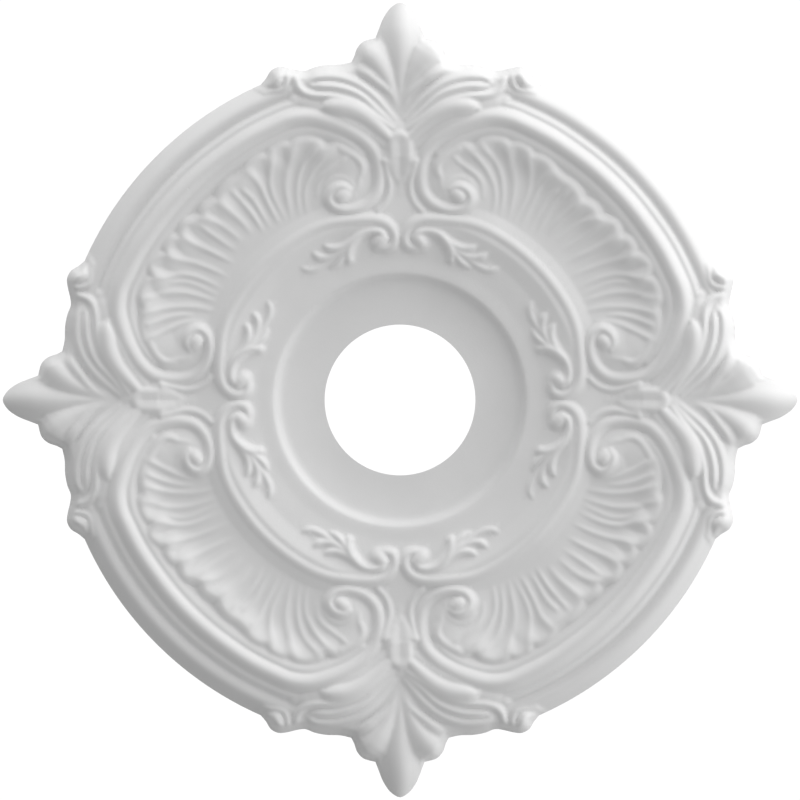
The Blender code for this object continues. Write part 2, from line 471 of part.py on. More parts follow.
def wedge_loop():
    """The closed outline of the wedge, counterclockwise from the hole's edge on the vertical axis."""
    corner = RIM_RADIUS / math.sqrt(2)
    hole_corner = HOLE_RADIUS / math.sqrt(2)
    outer = traced(PETAL_EDGE, EDGE_STEP)
    outer += traced(LOBE_EDGE, EDGE_STEP)[1:] + traced(WING_EDGE, EDGE_STEP)[1:]
    outer += arc(RIM_RADIUS, math.asin(WING_END / RIM_RADIUS), math.pi / 4, EDGE_STEP)[1:-1]
    axis = spaced((0, PETAL_EDGE[0][1]), (0, HOLE_RADIUS), EDGE_STEP)
    hole = arc(HOLE_RADIUS, 0, math.pi / 4, HOLE_STEP)[1:-1]
    diagonal = [(x, x) for x, _ in spaced((hole_corner, hole_corner), (corner, corner), EDGE_STEP)]
    return axis[1:] + hole + diagonal + outer[::-1]


def inside(points, loop):
    """Which points lie inside a closed loop."""
    odd = np.zeros(len(points), bool)
    ends = np.array(loop)
    for (x0, y0), (x1, y1) in zip(ends, np.roll(ends, -1, axis=0)):
        if y0 == y1:
            continue
        crosses = (y0 > points[:, 1]) != (y1 > points[:, 1])
        odd ^= crosses & (points[:, 0] < x0 + (points[:, 1] - y0) * (x1 - x0) / (y1 - y0))
    return odd


def bend(points, step):
    """How far the relief leaves a straight line over a step, in the wedge or in its mirror image."""
    most = np.zeros(len(points))
    for side in (points, points[:, ::-1]):
        middle = face_height(side)
        for turn in (0, math.pi / 3, 2 * math.pi / 3):
            way = step * np.array([math.cos(turn), math.sin(turn)])
            ends = face_height(np.abs(side + way)) + face_height(np.abs(side - way))
            most = np.maximum(most, np.abs(ends - 2 * middle))
    return most


def lattice(step, keep_all):
    """Points of a triangular lattice over the wedge; without keep_all, those the next coarser one lacks."""
    reach = int(PETAL_EDGE[0][1] / step) + 2
    i, j = np.meshgrid(np.arange(-reach, reach), np.arange(0, 2 * reach))
    fresh = keep_all | (i % 2 + j % 2 > 0)
    i, j = i[fresh], j[fresh]
    return np.column_stack([i + j / 2, j * math.sqrt(3) / 2]) * step


def clear(points, others, distance):
    """The points that keep a distance from all the others."""
    kept = []
    for part in np.array_split(points, max(1, len(points) // GROUP)):
        gaps = np.hypot(*(part[:, None] - others[None]).transpose(2, 0, 1))
        kept.append(part[gaps.min(axis=1) > distance])
    return np.vstack(kept)


def face_points(loop):
    """Points inside the wedge: a coarse lattice, and finer ones where the relief bends."""
    found = []
    for level in range(LEVELS, -1, -1):
        step = SPACING * 2 ** level
        points = lattice(step, level == LEVELS)
        points = points[inside(points, loop)]
        points = clear(points, np.array(loop), CLEARANCE * SPACING)
        if level < LEVELS:
            points = points[bend(points, step) > BEND]
        found.append(points)
    return np.vstack(found)


def wedge_mesh():
    """Points of the wedge, still flat, and the triangles between them."""
    loop = wedge_loop()
    points = [Vector(point) for point in loop] + [Vector(point) for point in face_points(loop)]
    result = delaunay_2d_cdt(points, [], [list(range(len(loop)))], 1, ONE_POINT)
    return np.array([tuple(point) for point in result[0]]), np.array(result[2])


def all_round(flat, triangles):
    """The wedge and its seven mirror images, raised to their heights and joined where they meet."""
    copies, faces = [], []
    for swapped in (False, True):
        quarter = flat[:, ::-1] if swapped else flat
        raised = np.column_stack([quarter, soft_height(quarter)])
        for right in (1, -1):
            for up in (1, -1):
                turned = swapped != (right * up < 0)
                faces.append((triangles[:, ::-1] if turned else triangles) + len(flat) * len(copies))
                copies.append(raised * (right, up, 1))
    every = np.round(np.vstack(copies), DECIMALS) + 0.0
    joined, places = np.unique(every, axis=0, return_inverse=True)
    return joined, places.reshape(-1)[np.vstack(faces)]


def rose_mesh():
    """The closed solid: relief below, straight edges round it and the hole, and a flat back at z = 0."""
    points, triangles = all_round(*wedge_mesh())
    points[:, 2] = -(BASE + points[:, 2])
    mesh = bpy.data.meshes.new("ceiling_rose")
    mesh.from_pydata((points * MILLIMETRE).tolist(), [], triangles[:, ::-1].tolist())
    solid = bmesh.new()
    solid.from_mesh(mesh)
    rim = [edge for edge in solid.edges if edge.is_boundary]
    walls = bmesh.ops.extrude_edge_only(solid, edges=rim)["geom"]
    for vert in (item for item in walls if isinstance(item, bmesh.types.BMVert)):
        vert.co.z = 0.0
    back = [item for item in walls if isinstance(item, bmesh.types.BMEdge) and item.is_boundary]
    bmesh.ops.triangle_fill(solid, edges=back, use_beauty=True)
    bmesh.ops.triangulate(solid, faces=[face for face in solid.faces if len(face.verts) > 3])
    bmesh.ops.recalc_face_normals(solid, faces=solid.faces)
    solid.to_mesh(mesh)
    solid.free()
    mesh.shade_smooth()
    mesh.set_sharp_from_angle(angle=math.radians(SHARP_ANGLE))
    return mesh


def white_material():
    material = bpy.data.materials.new("white_moulding")
    material.use_nodes = True
    shader = material.node_tree.nodes["Principled BSDF"]
    shader.inputs["Base Color"].default_value = WHITE
    shader.inputs["Roughness"].default_value = ROUGHNESS
    shader.inputs["Metallic"].default_value = 0.0
    return material


def build():
    for old in list(bpy.data.objects):
        bpy.data.objects.remove(old, do_unlink=True)
    mesh = rose_mesh()
    mesh.materials.append(white_material())
    rose = bpy.data.objects.new("ceiling_rose", mesh)
    bpy.context.scene.collection.objects.link(rose)
    thinned = rose.modifiers.new("Decimate", "DECIMATE")
    thinned.ratio = TRIANGLES / len(mesh.polygons)


build()
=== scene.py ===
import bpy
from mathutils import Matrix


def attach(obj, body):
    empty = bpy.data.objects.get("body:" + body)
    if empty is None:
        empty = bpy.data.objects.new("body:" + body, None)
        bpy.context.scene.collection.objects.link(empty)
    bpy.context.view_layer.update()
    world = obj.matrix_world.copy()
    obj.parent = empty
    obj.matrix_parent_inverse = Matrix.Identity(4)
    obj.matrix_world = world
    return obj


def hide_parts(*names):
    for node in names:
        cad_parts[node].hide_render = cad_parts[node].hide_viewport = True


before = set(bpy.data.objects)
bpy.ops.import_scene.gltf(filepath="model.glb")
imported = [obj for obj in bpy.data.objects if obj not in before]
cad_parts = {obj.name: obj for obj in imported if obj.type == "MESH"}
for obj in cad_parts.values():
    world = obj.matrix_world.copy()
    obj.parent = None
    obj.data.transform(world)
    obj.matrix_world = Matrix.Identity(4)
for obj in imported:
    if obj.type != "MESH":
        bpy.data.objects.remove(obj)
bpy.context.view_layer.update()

# Looks of the ceiling rose: the finely carved face, its moulded white finish, and the studio round it.
# The carving is the same as in the CAD model, meshed finely. It is described once, for the quarter between
# the vertical and the horizontal axis, and mirrored round; all but the shell is alike on both sides of the
# diagonal too, so it is described for half of that quarter. Lengths in the tables are millimetres.
import math

import bmesh
import bpy
import numpy as np
from mathutils import Vector
from mathutils.geometry import delaunay_2d_cdt

MILLIMETRE = 0.001

# Outline, in millimetres, from the vertical axis round to the diagonal
HOLE_RADIUS = 43.5
RIM_RADIUS = 199.0
PETAL_EDGE = [(0, 229.4), (4.5, 227.2), (9, 221.6), (12.5, 213.4), (14.2, 208.9)]
LOBE_EDGE = [(14.2, 208.9), (17.4, 208.2), (21.4, 206.8), (24.8, 203), (26.6, 198), (28.2, 195)]
WING_EDGE = [(28.2, 195), (34, 193.7), (43, 193.3), (49.5, 192), (55, 190), (60, 190.6),
             (65, 191.8), (70.4, 192.2), (74.6, 190), (77.4, 185.6), (80.4, 182)]
WING_END = 80.4

# Thickness under the ring round the hole; the other heights are above that ring
BASE = 9.5
EDGE_HEIGHT = -3.0
EDGE_SLOPE = 2.6
EDGE_ROUND = 2.4

# How widely beads and swellings melt into what they stand on, and the radius of the last averaging
BLEND = 0.6
SWELL_BLEND = 1.2
SOFT = 0.75

# How near a row lies to a mirror line to be on it, how steeply a strand ends past a joint of its pieces,
# and how far each side of a piece reaches: so many half widths and so many millimetres more
ON_LINE = 0.01
JOINT_FALL = 1.2
REACH_WIDTHS = 3
REACH_MORE = 7
FAR_BELOW = -100.0

# Turned rings, as radius and height
RINGS = [(40, 0), (50, 0), (58, 0.4), (64, 1.1), (67.6, 1.7), (69.4, 2.4), (70.6, 3.7), (71.9, 5.8),
         (73, 6.9), (74.4, 7.1), (82, 7.4), (86, 7.9), (90, 8.5), (96, 9.1), (102, 9.4), (108, 9.2),
         (114, 8.8), (122, 8.2), (130, 7.7), (150, 7.7), (174, 8.2), (180, 7.9), (183.4, 6.7),
         (184.9, 6.3), (185.8, 6.3), (187.2, 7.1), (188.4, 7.5), (190, 7.5), (191.4, 7.0), (193, 5.6),
         (195, 2.9), (197, 0), (199, -2.8), (204, -10), (240, -60)]


def ring_rows(radius, angles, height, half_width):
    """Rows along a circle round the centre; angles run from the vertical axis."""
    rows = []
    for angle in angles:
        turn = math.radians(angle)
        rows.append((radius * math.sin(turn), radius * math.cos(turn), height, half_width))
    return rows


# Broad swellings, as rows of x, y, crest height, half width, then the fall to the left and to the right
SWELLS = {
    "wing_body": ([(3, 157.4, 9.8, 5), (12, 164, 11.0, 7), (22, 171.5, 12.3, 8), (34, 176, 12.1, 8),
                   (43, 178, 10.7, 7), (53, 179.5, 8.4, 6), (60, 182, 6.6, 6)], 0.34, 0.3),
    "wing_edge": ([(26, 188.6, 7.4, 4), (36, 188, 7.0, 4), (48, 187, 6.6, 4),
                   (56, 185, 6.4, 4)], 0.9, 0.4),
    "gap_body": ([(45, 171.4, 11.9, 4), (50, 171.2, 11.5, 3.6), (55, 171.6, 10.6, 3),
                  (59.6, 172, 9.8, 2.2)], 0.25, 0.3),
    "neck_body": ([(8, 147.6, 11.4, 4), (14.4, 151.8, 11.8, 4), (23, 157.6, 13.1, 4.5),
                   (32, 161.6, 13.8, 4.5), (44, 166.5, 12.8, 4.5), (54, 171, 11, 4)], 0.3, 0.3),
    "lobe_body": ([(3, 170, 8.2, 4), (9, 184, 8.6, 8), (15, 192, 8.7, 9), (19, 197, 7.2, 9)], 0.32, 0.32),
    "axis_body": ([(0, 152, 11.8, 7), (0, 141, 11.3, 7), (0, 131, 10.0, 6),
                   (0, 121, 8.6, 5)], 0.25, 0.25),
    "volute_body": ([(32, 121, 11.4, 9), (28, 125, 11.0, 9), (27, 131, 10.8, 9),
                     (30, 137, 10.8, 9)], 0.16, 0.16),
    "shell_foot": (ring_rows(115, (45, 40, 35), 9.4, 5) + ring_rows(114, (28, 22), 9.9, 5), 0.34, 0.3),
    "sprig_body": ([(29, 92, 10.6, 4.5), (35, 87.4, 10.0, 6), (44, 82.8, 9.0, 6),
                    (52, 79, 8.3, 5)], 0.35, 0.35),
    "band_body": (ring_rows(107, (45, 38, 31, 24), 11.7, 9)
                  + [(32, 101, 11.7, 8), (22, 101.4, 11.5, 7), (12, 99.4, 10.8, 5)], 0.22, 0.22),
}

# Angles of rows along the rim, near the diagonal and on to the scroll's turn
NEAR_DIAGONAL = (45, 40, 35)
TO_SCROLL = (30, 25, 21.5)

# Narrower mouldings, beads and leaves, in the same form
BEADS = {
    "scroll": (ring_rows(173.6, NEAR_DIAGONAL, 14.9, 4.5) + ring_rows(174, TO_SCROLL, 14.9, 4.5)
               + [(52, 163.3, 14.8, 5), (40, 160.6, 14.8, 5.2), (29, 155.8, 14.2, 4.8),
                  (20, 149.6, 13.3, 4.5), (14.2, 142.5, 12.5, 4.2), (12.1, 133.8, 11.6, 4),
                  (12.1, 126.4, 11.0, 4.1), (13.8, 119.5, 11.0, 3.7), (18.3, 113.9, 11.6, 3.3),
                  (25, 110.4, 12.5, 3), (32.6, 109.8, 12.8, 2.9), (38.4, 112, 12.8, 2.7),
                  (40.9, 116.4, 13.0, 2.5), (39.4, 120.4, 13.3, 2.3), (36.2, 122.8, 13.4, 2.1),
                  (32.4, 123.2, 13.1, 2.0), (29.4, 121.6, 12.5, 1.8)], 0.55, 0.66),
    "rim_fillet": (ring_rows(181.2, NEAR_DIAGONAL, 9.8, 1.9) + ring_rows(181.6, TO_SCROLL, 9.8, 1.9)
                   + [(55.8, 171.8, 9.8, 1.9)], 0.5, 0.6),
    "shell_fillet": (ring_rows(167, (45, 40, 35, 30, 26, 22), 12.3, 3.6)
                     + [(51, 156.2, 12.1, 3.2), (40, 153.6, 12.0, 3), (30, 148.8, 11.7, 2.6),
                        (22, 142.5, 11.0, 2.2)], 0.3, 0.6),
    "band": (ring_rows(110.4, (45, 39, 33, 27), 12.6, 3.6)
             + [(40, 102, 12.8, 3.5), (30, 103.5, 13, 3.4), (20, 104.2, 12.8, 3.3),
                (12.6, 103.7, 12.4, 3.2), (7.2, 101.4, 12.1, 3), (3.9, 97.6, 11.9, 2.8),
                (2.8, 93, 11.7, 2.5), (4.2, 89.4, 11.3, 2.3), (7.8, 87.8, 10.8, 2),
                (12, 88.2, 10.4, 1.9)], 0.5, 0.58),
    "band_fillet": (ring_rows(105, (45, 39, 33, 27), 11.8, 2.6)
                    + [(37, 98.2, 11.8, 2.4), (29, 99.8, 11.6, 1.8)], 0.35, 0.45),
    "ball": ([(10.2, 93.6, 12.6, 3.3), (11.4, 92.2, 12.8, 3.5), (12.4, 91, 12.5, 3.5)], 0.5, 0.5),
    "stem": ([(9.2, 94, 12.2, 2.2), (10.6, 96.2, 12.6, 2.3), (14, 97.5, 12.5, 2.3), (18, 97.4, 12.5, 2.3),
              (22, 96, 12.7, 2.4), (26, 92.6, 12.9, 2.5), (28.8, 88.6, 12.7, 2.5),
              (29.9, 84.6, 12.0, 2.4), (29.5, 81.4, 10.8, 2.2)], 0.6, 0.7),
    "leaf_a": ([(28.5, 91.4, 12.2, 1.8), (33, 88.6, 12, 2.2), (38, 87.5, 11.8, 2.4),
                (42, 88.3, 11.5, 2.2), (44.5, 90.4, 10.6, 1.4)], 0.6, 0.7),
    "leaf_b": ([(30, 88, 11.8, 1.6), (34, 85.4, 11.4, 2), (38.5, 83.2, 10.8, 2.2),
                (43.5, 82.2, 10.7, 2.4), (47.6, 83, 11.2, 2.4), (50.6, 85.6, 10.4, 1.5)], 0.6, 0.7),
    "leaf_c": ([(31, 85.6, 11.6, 1.6), (33.6, 81.8, 11.0, 1.9), (36.6, 78.8, 10.2, 1.9),
                (40, 76.8, 9.0, 1.5)], 0.7, 0.75),
    "leaf_d": ([(36, 84, 10.8, 1.6), (40, 80.8, 10.0, 1.9), (45, 77.6, 9.7, 2.2), (50, 75.4, 9.9, 2.4),
                (54.6, 75.4, 10.0, 2.3), (57.6, 77.4, 9.2, 1.4)], 0.6, 0.7),
    "neck_fillet": ([(8.7, 136.4, 12.1, 2), (7.4, 131, 11.1, 2), (6, 124.4, 10.2, 2.1),
                     (6.7, 118, 9.9, 2.1), (9.1, 113, 10.1, 2), (12.8, 109, 10.6, 1.8)], 0.55, 0.55),
    "cap": ([(0, 153.2, 13.2, 2.2), (2.6, 152.2, 13.2, 2.2), (4.6, 149.6, 13.2, 2.1),
             (5, 146, 13.2, 2.1), (4.9, 142.4, 13, 2.1), (4.8, 139, 12.5, 2),
             (4.6, 137, 10.8, 1.6)], 0.55, 0.12),
    "cap_arm": ([(4.8, 138.4, 12.5, 1.6), (7.4, 138, 12.6, 1.7), (9.8, 138, 12.5, 1.7),
                 (11.4, 137.2, 11.2, 1.6)], 0.5, 0.18),
    "neck_ridge": ([(4.8, 140, 12.6, 2), (4.6, 137, 12.2, 2), (4, 134, 11.6, 1.9), (3.2, 131.4, 11, 1.8),
                    (2.2, 129, 10.2, 1.6)], 0.2, 0.12),
    "almond": ([(5, 150.4, 13.0, 2.2), (9.8, 155, 13.6, 3.2), (15, 159.8, 14.4, 4.2),
                (21.6, 164.8, 15.5, 5), (29.4, 168.3, 16.3, 5.2), (36, 169.2, 16.5, 4.4),
                (40.4, 169.3, 16.0, 3.3), (43.2, 168.9, 15.0, 2.2), (44.8, 168.3, 13.8, 1.2)], 0.46, 0.5),
    "hook": ([(4, 156.4, 11.6, 1.6), (9.6, 160.6, 12.5, 1.6), (15, 164.4, 13.4, 1.6),
              (20, 167.8, 14.1, 1.6), (25, 170.9, 14.3, 1.6), (30, 173, 14.3, 1.6), (35, 174.5, 14.0, 1.6),
              (40, 175.2, 13.7, 1.7), (45, 175.3, 13.4, 1.9), (50, 175.6, 12.8, 2.1), (54.8, 177, 11.6, 2.2),
              (58.2, 180, 10.2, 2.2), (60, 184.6, 8.4, 2.2), (60.8, 190, 5.6, 2.2)], 0.7, 0.8),
    "hairpin": ([(3, 158, 10.5, 1.6), (8, 162.6, 11.3, 1.6), (12.6, 166.4, 12.1, 1.7),
                 (16.4, 170, 12.7, 1.7), (20, 173.5, 13.0, 1.7), (24.6, 176.6, 13.2, 1.8),
                 (30, 178.8, 13.2, 1.8), (35, 180.1, 12.8, 1.8), (40, 180.8, 12.3, 1.9),
                 (46, 180.9, 11.6, 1.9), (50.4, 181.2, 10, 1.8), (52.4, 182.8, 8.6, 2)], 0.66, 0.7),
    "frond": ([(52.4, 182.8, 8.6, 2), (49.6, 185.3, 9.2, 2), (43.4, 186.1, 9.8, 2.1),
               (36, 185.8, 10.4, 2.1), (30, 184.4, 11.1, 2.1), (25, 182.4, 11.5, 2.1),
               (21, 180, 11.7, 2.1), (17, 176.9, 11.7, 2.1), (12.6, 172.8, 11.2, 2), (9, 168.6, 10.6, 1.9),
               (6, 165, 10.2, 1.9), (3.4, 161.8, 10, 1.8)], 0.66, 0.6),
    "sprout": ([(3, 171.6, 8.8, 1.4), (5, 176, 9.6, 1.6), (9.2, 180.2, 10.2, 1.8), (14, 183.9, 10.5, 2),
                (18.6, 187.4, 10.6, 2.1), (22.6, 189.6, 9.4, 2.2), (26.2, 191, 7, 2.3)], 0.3, 0.75),
    "lobe": ([(2.4, 172, 8.6, 1.4), (5.2, 180, 9.2, 2.6), (9, 188, 10, 4.2), (13.4, 194.4, 10.4, 5.6),
              (17.6, 199.2, 9.5, 5.8), (20.2, 203.4, 6.8, 5)], 0.4, 0.5),
    "petal": ([(0, 234, -9.5, 4), (0, 228, -4.6, 4.6), (0, 221, 1.2, 5.4), (0, 214, 5.4, 6),
               (0, 207, 7.6, 6.4), (0, 199, 8.6, 5.6), (0, 190, 8.6, 4), (0, 182, 8.5, 2.8),
               (0, 176, 8.2, 2), (0, 170, 8.2, 1.4)], 0.42, 0.42),
    "knob_ring": ([(65.6, 190, 6.2, 1.3), (65, 186.6, 7.6, 1.3), (65.2, 183.2, 8.3, 1.3),
                   (66.8, 180, 8.5, 1.3), (70.2, 178.5, 8.1, 1.3), (74, 177.9, 7.3, 1.3),
                   (78, 176.4, 6.3, 1.3)], 0.6, 0.6),
    "knob": ([(70.6, 186.4, 8.6, 3.6), (71, 185, 9.1, 3.8), (71.4, 183.8, 8.9, 3.6)], 0.55, 0.55),
    "eye": ([(34.6, 117.4, 13.8, 3.6), (33.6, 118.2, 14.0, 4), (32.6, 119, 13.7, 3.8)], 0.5, 0.5),
    "curl": ([(34, 145, 12.2, 2.6), (28.6, 142.2, 12.1, 2.5), (24.4, 139, 12, 2.4),
              (22, 135.2, 11.8, 2.3), (22.2, 131.6, 11.6, 2.1), (23.6, 128.4, 11.3, 2),
              (24, 125, 11.1, 2), (24.8, 121.8, 10.8, 2)], 0.5, 0.4),
}

# The shell's scalloped rim, from beside the vertical axis over the diagonal to the horizontal axis
SHELL_RIM = [(27, 140.6), (30.6, 144.4), (36, 146.4), (41, 144), (45, 144.6), (48.6, 148), (54, 149.6),
             (60, 148), (63.4, 146.2), (68, 146.6), (72.6, 144), (76, 139.8), (81, 139), (85.4, 136),
             (88.2, 131.4), (93, 127), (98.6, 123.4), (102, 119), (104, 113.8), (108, 112.2),
             (112, 109.4), (113.2, 105), (118, 102.6), (123.6, 101), (125.2, 96.4), (125.6, 93),
             (131, 92), (134, 87.6), (133.4, 83.8), (139, 82), (143.6, 77.4), (142, 73), (140.4, 70.4),
             (145.6, 68), (148.6, 62), (148.6, 58), (147, 54.6), (147.4, 49), (148.4, 42), (147.4, 36),
             (143.6, 30), (140, 27)]

# Height of that rim and depth of the dish inside it, both against the distance from the nearer axis
RIM_HEIGHTS = [(27, 11.6), (36, 12.3), (46, 12.6), (68, 12.9), (80, 13.2), (90, 13.4)]
DISH_DEPTHS = [(27, 1.6), (40, 2.6), (60, 4.8), (78, 5.3), (95, 4.7), (105, 4.5)]
SHELL_END = 26.0
DISH_WIDTH = 8.0

# Ribs between the shell's hollows, in the wedge beside the vertical axis: rows of x, y, rise, half width
UPRIGHT_RIBS = [
    [(26.4, 118, 0.9, 1.2), (26.4, 122.4, 1, 1.2), (29.6, 126.8, 1, 1.2), (34.6, 129, 0.9, 1.2),
     (39.6, 127.4, 0.7, 1.2), (43, 123.4, 0.5, 1.2)],
    [(30, 141.6, 0.3, 1.6), (32.6, 138.8, 0.9, 1.6), (36.4, 135.6, 1, 1.6), (40.8, 132.4, 1, 1.6),
     (44.8, 129, 0.9, 1.5), (47.4, 124.6, 0.6, 1.4), (48, 118, 0.3, 1.4)],
    [(40, 144.6, 1, 2), (43, 141.4, 1, 1.8), (46.6, 137.4, 1, 1.6), (50, 133, 1, 1.6),
     (52.4, 128.4, 0.9, 1.5), (54.4, 123.6, 0.7, 1.4), (55, 117.6, 0.7, 1.4), (54.4, 111.6, 0.5, 1.4),
     (52.8, 106, 0.2, 1.4)],
    [(46.4, 148, 1, 2), (49.6, 144, 1, 1.8), (53, 140.4, 1, 1.7), (55.6, 136.4, 1, 1.6),
     (57.6, 132, 1, 1.6), (58.9, 126.8, 1, 1.5), (59.4, 121, 0.9, 1.5), (59.3, 115, 0.8, 1.4),
     (58.6, 110, 0.6, 1.4), (57.6, 105, 0.3, 1.4)],
    [(60, 150, 1, 2.8), (62.2, 144, 1, 2.6), (63.6, 138, 1, 2.4), (65.2, 131, 1, 2.4),
     (66, 124, 0.9, 2.2), (65.4, 118, 0.9, 1.8), (64.3, 112, 0.8, 1.5), (63, 106, 0.6, 1.3),
     (61.6, 101, 0.3, 1.3)],
    [(74.4, 144, 1, 2.4), (74.2, 137, 1, 2.1), (75, 131, 0.9, 1.8), (75, 125.4, 0.9, 1.7),
     (74, 120.4, 0.9, 1.6), (72, 115.2, 0.8, 1.5), (69.4, 110, 0.7, 1.4), (66.8, 105, 0.5, 1.4),
     (64.6, 100, 0.2, 1.4)],
    [(88.6, 132.4, 1, 2.2), (84, 128, 1, 2), (81.2, 124.6, 1, 1.8), (79.2, 120.4, 1, 1.7),
     (77.2, 115.6, 1, 1.6), (74.7, 110.6, 1, 1.6), (71.8, 105.2, 0.9, 1.5), (68, 99, 0.4, 1.4)],
    [(92.4, 122.6, 0, 1.8), (89.6, 120.2, 0.8, 1.7), (86.4, 117.4, 0.9, 1.6), (83.6, 114, 0.9, 1.5),
     (81, 109.6, 0.9, 1.5), (78, 104.4, 0.8, 1.4), (74, 98, 0.3, 1.4)],
    [(97.6, 121.6, 0.4, 1.8), (95, 118.4, 1, 1.7), (91.8, 115, 1, 1.6), (88, 110.7, 1, 1.6),
     (84.7, 106.4, 1, 1.5), (81.3, 101, 0.8, 1.4), (78, 95.4, 0.3, 1.4)],
    [(105.4, 115.4, 1, 2.4), (102.4, 112.4, 1, 2.3), (98.6, 109.2, 1, 2.2), (94.6, 105.8, 0.9, 2),
     (90.6, 102, 0.7, 1.8), (86.6, 97, 0.3, 1.6)],
]

# The same in the wedge beside the horizontal axis, where the ribs run otherwise, with x and y swapped
LEVEL_RIBS = [
    [(34, 147, 0.8, 2), (36.4, 142.4, 1, 1.8), (39.2, 137, 1, 1.6), (42, 131, 1, 1.6),
     (44, 125.8, 0.8, 1.5), (45, 120, 0.6, 1.4), (44.8, 114, 0.3, 1.4)],
    [(43, 145.4, 0.9, 1.8), (45, 140.8, 1, 1.6), (46.9, 136, 1, 1.6), (48.2, 131, 0.9, 1.5),
     (49, 126, 0.7, 1.4), (49, 121, 0.3, 1.4)],
    [(49.6, 147.6, 1, 2), (51, 142.6, 1, 1.8), (52.4, 137.6, 1, 1.7), (53.4, 132, 1, 1.7),
     (53.8, 126, 0.9, 1.6), (53.7, 119.6, 0.8, 1.6), (52.7, 113, 0.6, 1.5), (51.2, 107, 0.3, 1.4)],
    [(58.6, 149, 1, 2), (59.4, 143, 1, 2), (61.2, 136.6, 1, 1.9), (62, 130, 1, 1.8),
     (61.7, 123.4, 1, 1.7), (60.4, 117.4, 0.9, 1.6), (58.7, 111.6, 0.8, 1.5), (56.8, 106, 0.4, 1.4)],
    [(67, 134, 0, 1.4), (68, 129, 0.6, 1.3), (68, 124, 0.7, 1.3), (66.6, 118.4, 0.7, 1.3),
     (64, 112.8, 0.7, 1.3), (61.4, 107.2, 0.6, 1.3), (59.6, 103, 0.2, 1.3)],
    [(70.6, 141.4, 1, 2.2), (70.6, 137, 1, 2), (72, 131, 1, 1.8), (72.3, 124.6, 1, 1.7),
     (71.2, 118.2, 1, 1.6), (68.8, 111.8, 0.9, 1.5), (66, 106, 0.7, 1.4), (63.4, 101, 0.3, 1.4)],
    [(83.4, 134, 1, 2.2), (81.8, 131, 1, 2), (80.8, 126.4, 1, 1.9), (79.3, 119.8, 1, 1.8),
     (77.4, 113.8, 1, 1.7), (75.2, 108.2, 1, 1.6), (72.6, 102.8, 0.8, 1.5), (69.4, 97, 0.3, 1.4)],
    [(94.6, 126, 1, 2.2), (92.2, 122.4, 1, 2), (90.4, 119.4, 1, 1.9), (88.6, 115.4, 1, 1.8),
     (86, 109.8, 1, 1.7), (83.2, 104.2, 0.9, 1.6), (80.4, 99, 0.6, 1.5), (77.6, 94, 0.2, 1.4)],
    [(101, 116.6, 0.3, 1.5), (98.6, 113, 0.7, 1.4), (95.8, 109, 0.8, 1.4), (92.6, 104.2, 0.8, 1.4),
     (89.3, 99.4, 0.5, 1.4), (86.6, 95, 0.2, 1.4)],
    [(105, 114.6, 0.9, 2), (104, 110, 0.9, 1.9), (102.4, 105.6, 0.9, 1.8), (99.6, 101, 0.8, 1.7),
     (96, 96.6, 0.5, 1.6), (92.6, 92.6, 0.2, 1.5)],
]

# The ribs' rise, reach and sink, their fading at the rim, and the shape of the dish and the shell's ends
RIB_RISE = 1.15
RIB_REACH = 2.4
RIB_SINK = 0.46
RIM_FADE = 0.6
RIM_FADE_WIDTH = 3.0
DISH_POWER = 1.6
OUTER_FALL = 0.13
END_FALL = 0.1
SHELL_INNER = 104.0
SHELL_OUTER = 172.0
SHELL_SIDE = 18.0


def mirrored(end, neighbour):
    """The neighbour of an end that lies on a mirror line, reflected in that line."""
    x, y = neighbour[0], neighbour[1]
    copy = neighbour.copy()
    if abs(end[0] - end[1]) < ON_LINE < abs(x - y):
        copy[0], copy[1] = y, x
        return [copy]
    if abs(end[0]) < ON_LINE < abs(x):
        copy[0] = -x
        return [copy]
    return []


def pieces(rows):
    """Cubic pieces through the rows, each as four coefficients with the highest power first."""
    rows = [np.array(row, float) for row in rows]
    before, after = mirrored(rows[0], rows[1]), mirrored(rows[-1], rows[-2])
    knots = np.array(before + rows + after)
    steps = np.diff(knots, axis=0)
    lengths = np.hypot(steps[:, 0], steps[:, 1])[:, None]
    rates = steps / lengths
    slopes = np.vstack([rates[:1], (rates[:-1] * lengths[1:] + rates[1:] * lengths[:-1])
                        / (lengths[1:] + lengths[:-1]), rates[-1:]])
    found = []
    for i in range(len(before), len(before) + len(rows) - 1):
        start, end = slopes[i] * lengths[i], slopes[i + 1] * lengths[i]
        found.append((start + end - 2 * steps[i], 3 * steps[i] - 2 * start - end, start, knots[i]))
    return found


def along(piece, t):
    """Points and values of a cubic piece at the parameters t."""
    t = np.asarray(t, float)[:, None]
    return ((piece[0] * t + piece[1]) * t + piece[2]) * t + piece[3]


# The search for a curve's nearest point: tried starts, rounds of refining and the least rate in a round
STARTS = 6
ROUNDS = 4
SLOWEST = 0.3

# Points along a piece from which the box round it is measured
BOX_POINTS = 5


def foot(piece, points):
    """Parameter of the point of a piece that lies nearest to each point."""
    flat = [part[:2] for part in piece]
    starts = np.linspace(0, 1, STARTS)
    gaps = points[:, None] - along(flat, starts)
    t = starts[(gaps ** 2).sum(axis=2).argmin(axis=1)]
    for _ in range(ROUNDS):
        u = t[:, None]
        gap = along(flat, t) - points
        first = (3 * flat[0] * u + 2 * flat[1]) * u + flat[2]
        second = 6 * flat[0] * u + 2 * flat[1]
        size = (first ** 2).sum(axis=1)
        rate = np.maximum(size + (gap * second).sum(axis=1), SLOWEST * size)
        t = np.clip(t - (gap * first).sum(axis=1) / rate, 0, 1)
    return t


